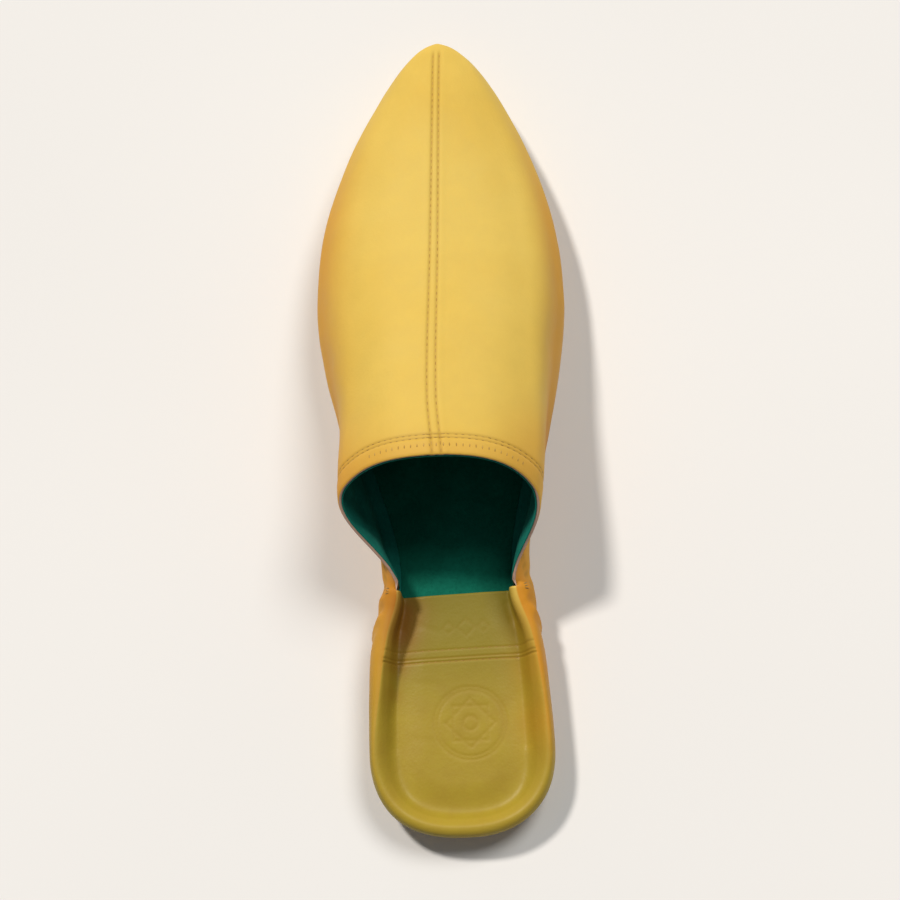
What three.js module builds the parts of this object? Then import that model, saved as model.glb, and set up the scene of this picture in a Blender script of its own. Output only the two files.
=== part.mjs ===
// A babouche: a pointed leather slipper for the left foot, with its heel quarter folded flat inside.
// Millimetres, +Z up, +Y towards the toe, +X towards the inner (medial) side of the foot.
import * as THREE from "three";
import { mergeVertices } from "three/addons/utils/BufferGeometryUtils.js";

// ---- driving dimensions -------------------------------------------------------------------
const LENGTH = 285.5; // heel fold to toe tip
const WALL = 1.6; // leather and lining together
const GAP = 0.3; // between two pieces that lie against each other
const SOLE = 4.7; // outsole thickness
const SOLE_INSET = 2.4; // outsole edge, inside the widest line of the upper
const SOLE_ROUND = 0.8; // rounded lower edge of the outsole
const INSOLE = 2; // insole thickness
const INSOLE_GAP = 0.9; // insole edge to the turned-in margin
const MARGIN = 7.5; // how far the upper turns in under its widest line
const TURN = 2.4; // exponent of that turn: above 2 keeps it flat on the sole for longer
const TOE_SPRING = 7; // rise of the sole at the toe tip
const ARCH = 1.6; // rise of the sole under the waist
const HEEL_SEAT_END = 72; // the heel stands flat up to here
const TREAD_START = 158; // the forefoot stands flat from here
const TREAD_END = 212; // to here, where the toe spring begins
const HEEL_DEPTH = 30; // length of the round back of the heel
const HEEL_SQUARENESS = 2.4; // exponent of the heel's superellipse
const HEEL_BACK = 0.6; // sideways place of the rearmost point
const ROLL_END = 9; // the wall stops rounding over this far in front of the corner
const FOOT_RISE = 2.2; // height of the hollow at the foot of the fold
const CORNER = 83; // where the throat edge meets the folded quarter
const THROAT = 119; // where the throat edge crosses the instep
const THROAT_FULLNESS = { lateral: 2.6, medial: 2.1 }; // how square the throat's arch is
const FLAP_RISE = SOLE + GAP + INSOLE + GAP + WALL; // top of the folded quarter over the sole's tread

// Sections from the heel to the toe. Sideways places are from the centre line, heights from the
// floor, and "in" is measured from the widest line towards the middle, so that a bulge is negative.
// - lateral, medial, widest: half widths and height of the widest line
// - line: the fold's crest, and its continuation forwards along the wall
// - faceRun, faceDrop: how the fold rounds over from its crest, sideways and down
// - footRun: the run of the hollow where the fold meets the flat quarter
// - shoulder, ridge, crown: the upper half of the vamp
const SECTIONS = [
  { along: 0, lateral: 30.4, medial: 32.2, widest: 10,
    lineInLateral: 3.4, lineInMedial: 3.4, lineUp: 13,
    faceRunLateral: 3.4, faceRunMedial: 3.4, faceDrop: 2.2, footRunLateral: 2.4, footRunMedial: 2.4 },
  { along: 30, lateral: 30.4, medial: 32.2, widest: 11,
    lineInLateral: 2.6, lineInMedial: 2.6, lineUp: 15.6,
    faceRunLateral: 4.4, faceRunMedial: 4.8, faceDrop: 3.6, footRunLateral: 2.8, footRunMedial: 3 },
  { along: 50, lateral: 30.2, medial: 31.2, widest: 11,
    lineInLateral: 4.4, lineInMedial: 2.6, lineUp: 16.6,
    faceRunLateral: 3.2, faceRunMedial: 4.8, faceDrop: 3.6, footRunLateral: 2.2, footRunMedial: 2.6 },
  { along: 68, lateral: 28.8, medial: 29.4, widest: 11.5,
    lineInLateral: 5.4, lineInMedial: 3.4, lineUp: 18.4,
    faceRunLateral: 2.9, faceRunMedial: 3.9, faceDrop: 3, footRunLateral: 1.2, footRunMedial: 1.8 },
  { along: 83, lateral: 25.2, medial: 27.2, widest: 12,
    lineInLateral: 4.6, lineInMedial: 4.8, lineUp: 20.6,
    faceRunLateral: 3, faceRunMedial: 3.5, faceDrop: 2.7, footRunLateral: 0.6, footRunMedial: 0.7,
    shoulderInLateral: 5, shoulderInMedial: 5, shoulderUp: 40, ridge: -2.6, crown: 59 },
  { along: 95, lateral: 25, medial: 26, widest: 12.5,
    lineInLateral: 0.6, lineInMedial: 2.6, lineUp: 24,
    shoulderInLateral: -5.8, shoulderInMedial: -1.4, shoulderUp: 42, ridge: -2.6, crown: 61 },
  { along: 107, lateral: 27.4, medial: 27.6, widest: 13,
    lineInLateral: -4.4, lineInMedial: -0.2, lineUp: 26,
    shoulderInLateral: -7.5, shoulderInMedial: -1, shoulderUp: 45, ridge: -2.6, crown: 62 },
  { along: 119, lateral: 31, medial: 30.2, widest: 13.5,
    lineInLateral: -4.2, lineInMedial: -0.2, lineUp: 26,
    shoulderInLateral: -3.6, shoulderInMedial: 0.6, shoulderUp: 46, ridge: -2.7, crown: 62 },
  { along: 140, lateral: 37.2, medial: 35, widest: 14,
    lineInLateral: -0.4, lineInMedial: 1, lineUp: 25,
    shoulderInLateral: 4.6, shoulderInMedial: 5.4, shoulderUp: 43, ridge: -4, crown: 56.5 },
  { along: 165, lateral: 43.4, medial: 40, widest: 14.5,
    lineInLateral: 1.4, lineInMedial: 2, lineUp: 24,
    shoulderInLateral: 11, shoulderInMedial: 11, shoulderUp: 39, ridge: -3.7, crown: 49.5 },
  { along: 186, lateral: 45.2, medial: 42, widest: 14.5,
    lineInLateral: 1.6, lineInMedial: 2, lineUp: 22.5,
    shoulderInLateral: 12.5, shoulderInMedial: 12.5, shoulderUp: 35, ridge: -3, crown: 43.5 },
  { along: 214, lateral: 42.3, medial: 39.4, widest: 13.8,
    lineInLateral: 1.5, lineInMedial: 1.7, lineUp: 20.5,
    shoulderInLateral: 12, shoulderInMedial: 12, shoulderUp: 30, ridge: -2.1, crown: 37 },
  { along: 240, lateral: 34, medial: 32.2, widest: 13.6,
    lineInLateral: 1.2, lineInMedial: 1.3, lineUp: 18.7,
    shoulderInLateral: 10, shoulderInMedial: 10, shoulderUp: 26.4, ridge: -1.4, crown: 31.8 },
  { along: 262, lateral: 22.7, medial: 22.2, widest: 14.4,
    lineInLateral: 0.8, lineInMedial: 0.8, lineUp: 18,
    shoulderInLateral: 7.2, shoulderInMedial: 7.2, shoulderUp: 23.4, ridge: -0.9, crown: 27 },
  { along: 278, lateral: 12.1, medial: 12.1, widest: 15.4,
    lineInLateral: 0.3, lineInMedial: 0.3, lineUp: 17.3,
    shoulderInLateral: 3, shoulderInMedial: 3, shoulderUp: 20.1, ridge: -0.3, crown: 22 },
  { along: LENGTH, lateral: 0, medial: 0, widest: 15.4,
    lineInLateral: 0, lineInMedial: 0, lineUp: 16.3,
    shoulderInLateral: 0, shoulderInMedial: 0, shoulderUp: 17.3, ridge: 0, crown: 18 },
];

// ---- reading the sections -----------------------------------------------------------------
const mix = (a, b, t) => a + (b - a) * t;

// Near the toe a width grows with the square root of the distance from the tip, so the table is
// read along that root and the tip comes out round.
const reach = (along) => Math.sqrt(Math.max(0, LENGTH - along));

// One column of SECTIONS at a place along the shoe, as a cubic through its rows.
function read(column, along) {
  const rows = SECTIONS.filter((row) => column in row);
  const at = reach(Math.max(along, rows[0].along));
  let i = rows.length - 2;
  while (i > 0 && at > reach(rows[i].along)) i--;
  const slope = (k) => {
    const a = rows[Math.max(k - 1, 0)];
    const b = rows[Math.min(k + 1, rows.length - 1)];
    return (b[column] - a[column]) / (reach(b.along) - reach(a.along));
  };
  const span = reach(rows[i + 1].along) - reach(rows[i].along);
  const t = (at - reach(rows[i].along)) / span;
  const from = rows[i][column];
  const to = rows[i + 1][column];
  return THREE.MathUtils.lerp(from, to, t * t * (3 - 2 * t))
    + t * (1 - t) * span * ((1 - t) * slope(i) - t * slope(i + 1));
}

// Height of the outsole's lower face over the floor.
function lift(along) {
  if (along > TREAD_END) return TOE_SPRING * ((along - TREAD_END) / (LENGTH - TREAD_END)) ** 2;
  if (along < HEEL_SEAT_END || along > TREAD_START) return 0;
  const t = (along - HEEL_SEAT_END) / (TREAD_START - HEEL_SEAT_END);
  return ARCH * Math.sin(Math.PI * t) ** 2;
}

// ---- the widest line ------------------------------------------------------------------------
const LATERAL = -1;
const MEDIAL = 1;
const heelCentre = (read("medial", HEEL_DEPTH) - read("lateral", HEEL_DEPTH)) / 2;

// A point of the widest line. Behind HEEL_DEPTH it lies on the heel's superellipse.
function outline(side, along) {
  const half = read(side === LATERAL ? "lateral" : "medial", along);
  if (along >= HEEL_DEPTH) return new THREE.Vector2(side * half, along);
  const share = 1 - along / HEEL_DEPTH;
  const width = (half - side * heelCentre) * (1 - share ** HEEL_SQUARENESS) ** (1 / HEEL_SQUARENESS);
  return new THREE.Vector2(mix(heelCentre, HEEL_BACK, share ** 2) + side * width, along);
}

// The direction from the widest line to the inside, square to the line.
function inwardAt(side, along) {
  if (along >= LENGTH) return new THREE.Vector2(0, -1);
  if (along <= 0) return new THREE.Vector2(0, 1);
  const a = outline(side, Math.max(along - 0.05, 0));
  const b = outline(side, Math.min(along + 0.05, LENGTH));
  return new THREE.Vector2(-side * (b.y - a.y), side * (b.x - a.x)).normalize();
}

// ---- rows: round the shoe from the toe tip to the heel ------------------------------------------
const VAMP_ROWS = 28; // toe tip to corner
const QUARTER_ROWS = 6; // corner to where the heel begins to round
const BACK_ROWS = 9; // round the back
const FOLD_ROWS = QUARTER_ROWS + BACK_ROWS;

// Vamp rows stand closer together at the toe tip and at their end, which is the corner for the
// wall and the throat edge above it.
function vampAlong(row, end) {
  const t = row / VAMP_ROWS;
  return mix(LENGTH, end, mix(t ** 1.6, t * t * (3 - 2 * t), 0.6));
}

function foldAlong(row) {
  if (row <= QUARTER_ROWS) return mix(CORNER, HEEL_DEPTH, row / QUARTER_ROWS);
  return HEEL_DEPTH * (1 - Math.sin((row - QUARTER_ROWS) / BACK_ROWS * Math.PI / 2));
}

// ---- columns: up one side of a section from the turned-in margin to the middle ------------------
const MARGIN_STEPS = 4;
const WALL_STEPS = 3;
const FACE_STEPS = 3;
const FOOT_STEPS = 2;
const LINE_COLUMN = MARGIN_STEPS + WALL_STEPS;
const FACE_COLUMN = LINE_COLUMN + FACE_STEPS;
const FOOT_COLUMN = FACE_COLUMN + 1 + FOOT_STEPS;
const MIDDLE_COLUMN = LINE_COLUMN + 10;
const QUARTER_CURVE = 1.657; // tangent length that makes a cubic follow a quarter ellipse

// A cubic between two [in, up] places with the tangents given.
function cubic(from, fromTangent, to, toTangent, t) {
  return from.map((a, k) => mix(a, to[k], t * t * (3 - 2 * t))
    + t * (1 - t) * ((1 - t) * fromTangent[k] - t * toTangent[k]));
}

// Columns that differ from side to side end in the side's name.
const named = (column, side) => column + (side === LATERAL ? "Lateral" : "Medial");

// Named places of one side's section, as [in, up].
function sectionAt(side, along) {
  const half = read(side === LATERAL ? "lateral" : "medial", along);
  return {
    widest: [0, read("widest", along)],
    line: [read(named("lineIn", side), along), read("lineUp", along)],
    shoulder: [read(named("shoulderIn", side), along), read("shoulderUp", along)],
    crown: [half - side * read("ridge", along), read("crown", along)],
  };
}

const upTheVamp = ({ widest, shoulder }) => [shoulder[0] / 2, (shoulder[1] - widest[1]) / 2];

// The part that every section has: margin, widest line and wall. In front of the corner the wall
// runs on up into the vamp, and behind it the wall rounds over into the fold.
function wallPoint(side, along, column) {
  const at = outline(side, along);
  const section = sectionAt(side, along);
  if (column < MARGIN_STEPS) {
    const angle = column / MARGIN_STEPS * Math.PI / 2;
    at.addScaledVector(inwardAt(side, along), MARGIN * (1 - Math.sin(angle) ** (2 / TURN)));
    const tread = lift(at.y) + SOLE + GAP;
    return new THREE.Vector3(at.x, at.y, mix(section.widest[1], tread, Math.cos(angle) ** (2 / TURN)));
  }
  const rollsOver = THREE.MathUtils.clamp(1 - (along - CORNER) / ROLL_END, 0, 1) ** 2;
  const up = upTheVamp(section);
  const atLine = [mix(up[0], QUARTER_CURVE * section.line[0], rollsOver), mix(up[1], 0, rollsOver)];
  const atWidest = [0, QUARTER_CURVE * (section.line[1] - section.widest[1])];
  const t = (column - MARGIN_STEPS) / WALL_STEPS;
  return place(side, along, cubic(section.widest, atWidest, section.line, atLine, t));
}

// A [in, up] place of a section, in space.
function place(side, along, [inside, up]) {
  const across = along >= HEEL_DEPTH ? new THREE.Vector2(-side, 0) : inwardAt(side, along);
  const at = outline(side, along).addScaledVector(across, inside);
  return new THREE.Vector3(at.x, at.y, up);
}

function vampPoint(side, row, column) {
  if (column <= LINE_COLUMN) return wallPoint(side, vampAlong(row, CORNER), column);
  const share = (column - LINE_COLUMN) / (MIDDLE_COLUMN - LINE_COLUMN);
  const fullness = side === LATERAL ? THROAT_FULLNESS.lateral : THROAT_FULLNESS.medial;
  const along = vampAlong(row, mix(THROAT, CORNER, (1 - share) ** fullness));
  const section = sectionAt(side, along);
  const { line, shoulder, crown } = section;
  const atShoulder = [(crown[0] - line[0]) / 2, (crown[1] - line[1]) / 2];
  if (share <= 0.5) {
    return place(side, along, cubic(line, upTheVamp(section), shoulder, atShoulder, share * 2));
  }
  const atCrown = [QUARTER_CURVE * (crown[0] - shoulder[0]), 0];
  return place(side, along, cubic(shoulder, atShoulder, crown, atCrown, share * 2 - 1));
}

function foldPoint(side, row, column) {
  const along = foldAlong(row);
  if (column <= LINE_COLUMN) return wallPoint(side, along, column);
  const { line } = sectionAt(side, along);
  const face = [line[0] + read(named("faceRun", side), along), line[1] - read("faceDrop", along)];
  const floor = lift(along) + FLAP_RISE;
  if (column <= FACE_COLUMN) {
    const angle = (column - LINE_COLUMN) / FACE_STEPS * Math.PI / 2;
    return place(side, along, [
      mix(line[0], face[0], Math.sin(angle)), mix(face[1], line[1], Math.cos(angle)),
    ]);
  }
  const hollowUp = Math.min(floor + FOOT_RISE, face[1] - 0.3);
  const angle = Math.min((column - FACE_COLUMN - 1) / FOOT_STEPS, 1) * Math.PI / 2;
  const foot = place(side, along, [
    face[0] + 0.1 + read(named("footRun", side), along) * (1 - Math.cos(angle)),
    mix(hollowUp, floor, Math.sin(angle)),
  ]);
  if (column <= FOOT_COLUMN) return foot;
  const spine = row <= QUARTER_ROWS
    ? new THREE.Vector3((read("medial", along) - read("lateral", along)) / 2, along, floor)
    : new THREE.Vector3(heelCentre, HEEL_DEPTH, FLAP_RISE);
  return foot.lerp(spine, (column - FOOT_COLUMN) / (MIDDLE_COLUMN - FOOT_COLUMN));
}

// ---- making closed bodies ---------------------------------------------------------------------
// Collects triangles of Vector3 corners and turns them into one welded body that faces out.
class Skin {
  constructor() {
    this.corners = [];
  }

  triangle(a, b, c) {
    this.corners.push(a, b, c);
  }

  quad(a, b, c, d) {
    if (a.distanceToSquared(c) < b.distanceToSquared(d)) {
      this.triangle(a, b, c);
      this.triangle(a, c, d);
    } else {
      this.triangle(a, b, d);
      this.triangle(b, c, d);
    }
  }

  // Corners closer than a hundredth of a millimetre become one, and what collapses is left out.
  weld() {
    const loose = new THREE.BufferGeometry().setFromPoints(this.corners);
    loose.setIndex(this.corners.map((_, i) => i));
    const welded = mergeVertices(loose, 0.01);
    const kept = [];
    const index = welded.index.array;
    for (let i = 0; i < index.length; i += 3) {
      const [a, b, c] = [index[i], index[i + 1], index[i + 2]];
      if (a !== b && b !== c && c !== a) kept.push(a, b, c);
    }
    welded.setIndex(kept);
    return welded;
  }
}

function signedVolume(geometry) {
  const at = (i) => new THREE.Vector3().fromBufferAttribute(geometry.attributes.position, geometry.index.array[i]);
  let volume = 0;
  for (let i = 0; i < geometry.index.count; i += 3) volume += at(i).dot(at(i + 1).cross(at(i + 2))) / 6;
  return volume;
}

function faceOut(geometry) {
  if (signedVolume(geometry) < 0) {
    const index = geometry.index.array;
    for (let i = 0; i < index.length; i += 3) [index[i], index[i + 1]] = [index[i + 1], index[i]];
  }
  return geometry;
}

// Evens out the normals, so that the inside of a tight curve stays smooth.
function smoothNormals(sheet, passes) {
  const normal = sheet.attributes.normal;
  const index = sheet.index.array;
  for (let pass = 0; pass < passes; pass++) {
    const sums = Array.from({ length: normal.count }, (_, i) => new THREE.Vector3().fromBufferAttribute(normal, i));
    const before = sums.map((n) => n.clone());
    for (let i = 0; i < index.length; i += 3) {
      for (let k = 0; k < 3; k++) sums[index[i + k]].addScaledVector(before[index[i + (k + 1) % 3]], 0.25);
    }
    sums.forEach((n, i) => normal.setXYZ(i, ...n.normalize().toArray()));
  }
}

// A sheet becomes a solid wall: the same sheet again, one thickness further in, and a strip of
// edge along every open side.
function thicken(sheet, thickness) {
  sheet.computeVertexNormals();
  smoothNormals(sheet, 2);
  const position = sheet.attributes.position;
  const normal = sheet.attributes.normal;
  const outer = [];
  const inner = [];
  for (let i = 0; i < position.count; i++) {
    const p = new THREE.Vector3().fromBufferAttribute(position, i);
    outer.push(p);
    inner.push(p.clone().addScaledVector(new THREE.Vector3().fromBufferAttribute(normal, i), -thickness));
  }
  const index = sheet.index.array;
  const open = new Map();
  const wall = new Skin();
  for (let i = 0; i < index.length; i += 3) {
    const face = [index[i], index[i + 1], index[i + 2]];
    wall.triangle(...face.map((v) => outer[v]));
    wall.triangle(...face.map((v) => inner[v]).reverse());
    face.forEach((v, k) => {
      const next = face[(k + 1) % 3];
      if (!open.delete(`${next}_${v}`)) open.set(`${v}_${next}`, [v, next]);
    });
  }
  for (const [a, b] of open.values()) wall.quad(outer[b], outer[a], inner[a], inner[b]);
  return faceOut(wall.weld());
}

// Adds the grid of quads between rows, for one side.
function addGrid(skin, side, rows, columns, point) {
  for (let row = 0; row < rows; row++) {
    for (let column = 0; column < columns; column++) {
      const corners = [
        point(row, column), point(row + 1, column), point(row + 1, column + 1), point(row, column + 1),
      ];
      skin.quad(...(side === LATERAL ? corners : corners.reverse()));
    }
  }
}

// A flat layer under or inside the upper. Its outline is the widest line, inset, and profile gives
// [further inset, height over the tread] from its lower face to its upper.
function layer(inset, profile) {
  const skin = new Skin();
  const rim = (side, row, [further, up]) => {
    const along = row <= VAMP_ROWS ? vampAlong(row, CORNER) : foldAlong(row - VAMP_ROWS);
    const at = outline(side, along).addScaledVector(inwardAt(side, along), inset + further);
    return new THREE.Vector3(at.x, at.y, lift(at.y) + up);
  };
  const rows = VAMP_ROWS + FOLD_ROWS;
  for (const side of [LATERAL, MEDIAL]) {
    addGrid(skin, side, rows, profile.length - 1, (row, k) => rim(side, row, profile[k]));
  }
  for (const [side, level] of [[MEDIAL, profile[0]], [LATERAL, profile[profile.length - 1]]]) {
    addGrid(skin, LATERAL, rows, 1, (row, k) => rim(k === 0 ? side : -side, row, level));
  }
  return faceOut(skin.weld());
}

// The upper: the vamp from the toe to the throat edge, then the quarters round the heel.
function makeUpper() {
  const skin = new Skin();
  for (const side of [LATERAL, MEDIAL]) {
    addGrid(skin, side, VAMP_ROWS, MIDDLE_COLUMN, (row, column) => vampPoint(side, row, column));
    addGrid(skin, side, FOLD_ROWS, MIDDLE_COLUMN, (row, column) => foldPoint(side, row, column));
  }
  return thicken(skin.weld(), WALL);
}

// ---- the slipper -------------------------------------------------------------------------------
const PIECES = [
  { name: "outsole", colour: 0xb98a52, roughness: 0.7,
    body: layer(SOLE_INSET, [
      [SOLE_ROUND, 0], [SOLE_ROUND * 0.3, SOLE_ROUND * 0.3], [0, SOLE_ROUND], [0, SOLE],
    ]) },
  { name: "insole", colour: 0x0d5d4c, roughness: 0.8,
    body: layer(MARGIN + INSOLE_GAP, [[0, SOLE + GAP], [0, SOLE + GAP + INSOLE]]) },
  { name: "upper", colour: 0xe3c05c, roughness: 0.55, body: makeUpper() },
];

const slipper = new THREE.Group();
slipper.name = "babouche";
for (const { name, colour, roughness, body } of PIECES) {
  const material = new THREE.MeshStandardMaterial({ color: colour, roughness, metalness: 0 });
  material.name = name;
  const mesh = new THREE.Mesh(body, material);
  mesh.name = name;
  slipper.add(mesh);
}

// The origin is the middle of the ground under the slipper.
const box = new THREE.Box3().setFromObject(slipper);
const middle = box.getCenter(new THREE.Vector3());
for (const mesh of slipper.children) mesh.geometry.translate(-middle.x, -middle.y, -box.min.z);

export default slipper;
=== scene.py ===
import functools
import math

import bmesh
import bpy
from mathutils import Matrix, Vector, noise
from mathutils.bvhtree import BVHTree
from mathutils.kdtree import KDTree


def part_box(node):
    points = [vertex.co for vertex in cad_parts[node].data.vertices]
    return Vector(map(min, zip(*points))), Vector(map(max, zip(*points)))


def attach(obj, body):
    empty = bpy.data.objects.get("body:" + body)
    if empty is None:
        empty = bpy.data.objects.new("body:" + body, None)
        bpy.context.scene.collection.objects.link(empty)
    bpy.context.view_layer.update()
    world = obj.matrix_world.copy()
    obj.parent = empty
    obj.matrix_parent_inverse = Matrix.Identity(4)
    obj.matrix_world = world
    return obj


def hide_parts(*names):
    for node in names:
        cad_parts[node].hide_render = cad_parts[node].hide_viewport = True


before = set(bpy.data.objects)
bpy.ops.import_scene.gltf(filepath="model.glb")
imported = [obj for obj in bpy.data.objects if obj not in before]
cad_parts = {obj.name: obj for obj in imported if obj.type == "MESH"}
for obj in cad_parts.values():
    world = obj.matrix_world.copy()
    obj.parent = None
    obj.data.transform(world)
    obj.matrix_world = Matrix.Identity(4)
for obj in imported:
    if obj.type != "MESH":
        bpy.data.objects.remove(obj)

scene = bpy.context.scene
scene.view_settings.view_transform = "Standard"
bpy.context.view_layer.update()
upperLow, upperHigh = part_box("upper")
mm = 0.001
lateral, medial = -1, 1  # the outer and the inner side of the foot


# The last, in mm: the heel fold is at y 0 and the foot's centre line at x 0

last = {
    "length": 285.5,  # heel fold to toe tip
    "medialReach": 41.97,  # centre line to the widest place of the inner side
    "sole": 4.7,
    "gap": 0.3,
    "insole": 2.0,
    "margin": 7.5,  # how far the upper turns in under its widest line
    "turn": 2.4,  # exponent of that turn
    "toeSpring": 7.0,
    "arch": 1.6,
    "heelSeatEnd": 72.0,
    "treadStart": 158.0,
    "treadEnd": 212.0,
    "heelDepth": 30.0,  # the round back of the heel
    "heelSquareness": 2.4,
    "heelBack": 0.6,  # sideways place of the rearmost point
}
shoeOrigin = Vector((upperHigh.x / mm - last["medialReach"], upperLow.y / mm, 0))

# One row for each section. "in" is measured from the widest line towards the middle, so a bulge is
# negative. The line is the crest of the fold, and its continuation along the wall in front of it.
wallColumns = ("along", "lateral", "medial", "widest", "lineLateral", "lineMedial", "lineUp")
wallRows = (
    (0, 30.4, 32.2, 10, 3, 3, 13),
    (30, 30.4, 32.2, 11, 1.8, 2, 15.4),
    (50, 30.2, 31.2, 11, 3.9, 2.4, 16.6),
    (68, 28.8, 29.4, 11.5, 5.4, 3.4, 18.4),
    (83, 25.2, 27.2, 12, 5.6, 5.8, 20.6),
    (95, 25, 26, 12.5, 0.6, 2.6, 24),
    (107, 27.4, 27.6, 13, -4.4, -0.2, 26),
    (119, 31, 30.2, 13.5, -4.2, -0.2, 26),
    (140, 37.2, 35, 14, -0.4, 1, 25),
    (165, 43.4, 40, 14.5, 1.4, 2, 24),
    (186, 45.2, 42, 14.5, 1.6, 2, 22.5),
    (214, 42.3, 39.4, 13.8, 1.5, 1.7, 20.5),
    (240, 34, 32.2, 13.6, 1.2, 1.3, 18.7),
    (262, 22.7, 22.2, 14.4, 0.8, 0.8, 18),
    (278, 12.1, 12.1, 15.4, 0.3, 0.3, 17.3),
    (285.5, 0, 0, 15.4, 0, 0, 16.3),
)
vampColumns = ("along", "shoulderLateral", "shoulderMedial", "shoulderUp", "crown")
vampRows = (
    (83, 5, 5, 40, 59),
    (95, -5.8, -1.4, 42, 61),
    (107, -7.5, -1, 45, 62),
    (119, -3.6, 0.6, 46, 62),
    (140, 4.6, 5.4, 43, 56.5),
    (165, 11, 11, 39, 49.5),
    (186, 12.5, 12.5, 35, 43.5),
    (214, 12, 12, 30, 37),
    (240, 10, 10, 26.4, 31.8),
    (262, 7.2, 7.2, 23.4, 27),
    (278, 3, 3, 20.1, 22),
    (285.5, 0, 0, 17.3, 18),
)
seamColumns = ("along", "seam")  # the centre seam wanders to the outer side over the instep
seamRows = (
    (83, -2.6), (119, -2.65), (126, -3.05), (131, -3.5), (140, -4.05), (158, -3.9),
    (174, -3.4), (198, -2.6), (230, -1.7), (263, -0.85), (285.5, 0),
)
foldColumns = ("along", "faceLateral", "faceMedial", "faceDrop", "footLateral", "footMedial")
foldRows = (
    (0, 2.4, 2.4, 1.8, 3.6, 3.6),
    (30, 2.6, 2.8, 2.3, 5.2, 5.4),
    (50, 2.6, 3, 2.8, 3.2, 4.4),
    (68, 2.4, 3.2, 3, 1.3, 2.4),
    (83, 1.4, 2.5, 2.7, 0.5, 0.6),
)
curves = {}
for columns, rows in (
    (wallColumns, wallRows), (vampColumns, vampRows), (seamColumns, seamRows), (foldColumns, foldRows),
):
    for place, column in enumerate(columns[1:], 1):
        curves[column] = [(math.sqrt(last["length"] - row[0]), row[place]) for row in rows]


def mix(a, b, t):
    return a + (b - a) * t


def ease(t):
    t = min(max(t, 0.0), 1.0)
    return t * t * (3 - 2 * t)


def bump(distance, width):  # 1 on a line, falling off softly on both sides of it
    return math.exp(-((distance / width) ** 2))


@functools.lru_cache(maxsize=None)
def read(column, along):  # a cubic through the rows, taken along the root of the distance to the tip
    rows = curves[column]
    at = min(math.sqrt(max(0.0, last["length"] - along)), rows[0][0])
    i = len(rows) - 2
    while i > 0 and at > rows[i][0]:
        i -= 1
    (x0, y0), (x1, y1) = rows[i], rows[i + 1]
    before, after = rows[max(i - 1, 0)], rows[min(i + 2, len(rows) - 1)]
    slope0 = (y1 - before[1]) / (x1 - before[0])
    slope1 = (after[1] - y0) / (after[0] - x0)
    t = (at - x0) / (x1 - x0)
    return mix(y0, y1, ease(t)) + t * (1 - t) * (x1 - x0) * ((1 - t) * slope0 - t * slope1)


def lift(along):  # height of the sole's lower face over the floor
    if along > last["treadEnd"]:
        return last["toeSpring"] * ((along - last["treadEnd"]) / (last["length"] - last["treadEnd"])) ** 2
    if along < last["heelSeatEnd"] or along > last["treadStart"]:
        return 0.0
    t = (along - last["heelSeatEnd"]) / (last["treadStart"] - last["heelSeatEnd"])
    return last["arch"] * math.sin(math.pi * t) ** 2


heelCentre = (read("medial", last["heelDepth"]) - read("lateral", last["heelDepth"])) / 2


def outline(side, along):  # the widest line
    half = read("lateral" if side == lateral else "medial", along)
    if along >= last["heelDepth"]:
        return Vector((side * half, along))
    share = 1 - along / last["heelDepth"]
    power = last["heelSquareness"]
    width = (half - side * heelCentre) * max(0.0, 1 - share ** power) ** (1 / power)
    return Vector((mix(heelCentre, last["heelBack"], share ** 2) + side * width, along))


def inwardAt(side, along):  # square to the widest line
    if along >= last["length"]:
        return Vector((0, -1))
    if along <= 0:
        return Vector((0, 1))
    a = outline(side, max(along - 0.05, 0))
    b = outline(side, min(along + 0.05, last["length"]))
    return Vector((-side * (b.y - a.y), side * (b.x - a.x))).normalized()


def atPlace(side, along, inside, up):
    across = Vector((-side, 0)) if along >= last["heelDepth"] else inwardAt(side, along)
    at = outline(side, along) + across * inside
    return Vector((at.x, at.y, up))


def cubic(start, startTangent, end, endTangent, t):
    return [
        mix(a, b, ease(t)) + t * (1 - t) * ((1 - t) * ta - t * tb)
        for a, ta, b, tb in zip(start, startTangent, end, endTangent)
    ]


# The upper's own surface

pattern = {
    "corner": 83.0,  # where the throat edge meets the folded quarter
    "throat": 119.0,  # where the throat edge crosses the instep
    "fullness": {lateral: 2.6, medial: 2.1},  # how square the throat's arch is
    "rollEnd": 9.0,
    "footRise": 3.1,  # the hollow at the foot of the fold
    "softFrom": 80.0,  # behind this the fold is no longer tight, and it is all soft after softOver
    "softOver": 24.0,
    "quarterCurve": 1.657,  # tangent that makes a cubic follow a quarter ellipse
    "edgeSlant": 0.034,  # of the folded quarter's free edge, which runs out to the inner side
    "slantFrom": 62.0,
    "slantOver": 18.0,
    "leather": 1.1,
    "lining": 0.45,
    "glue": 0.05,  # between the leather and its lining
    "wall": 1.6,
}
flapRise = last["sole"] + last["gap"] + last["insole"] + last["gap"] + pattern["wall"]


def sectionAt(side, along):
    name = "Lateral" if side == lateral else "Medial"
    return (
        (0, read("widest", along)),
        (read("line" + name, along), read("lineUp", along)),
        (read("shoulder" + name, along), read("shoulderUp", along)),
        (read(name.lower(), along) - side * read("seam", along), read("crown", along)),
    )


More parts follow.
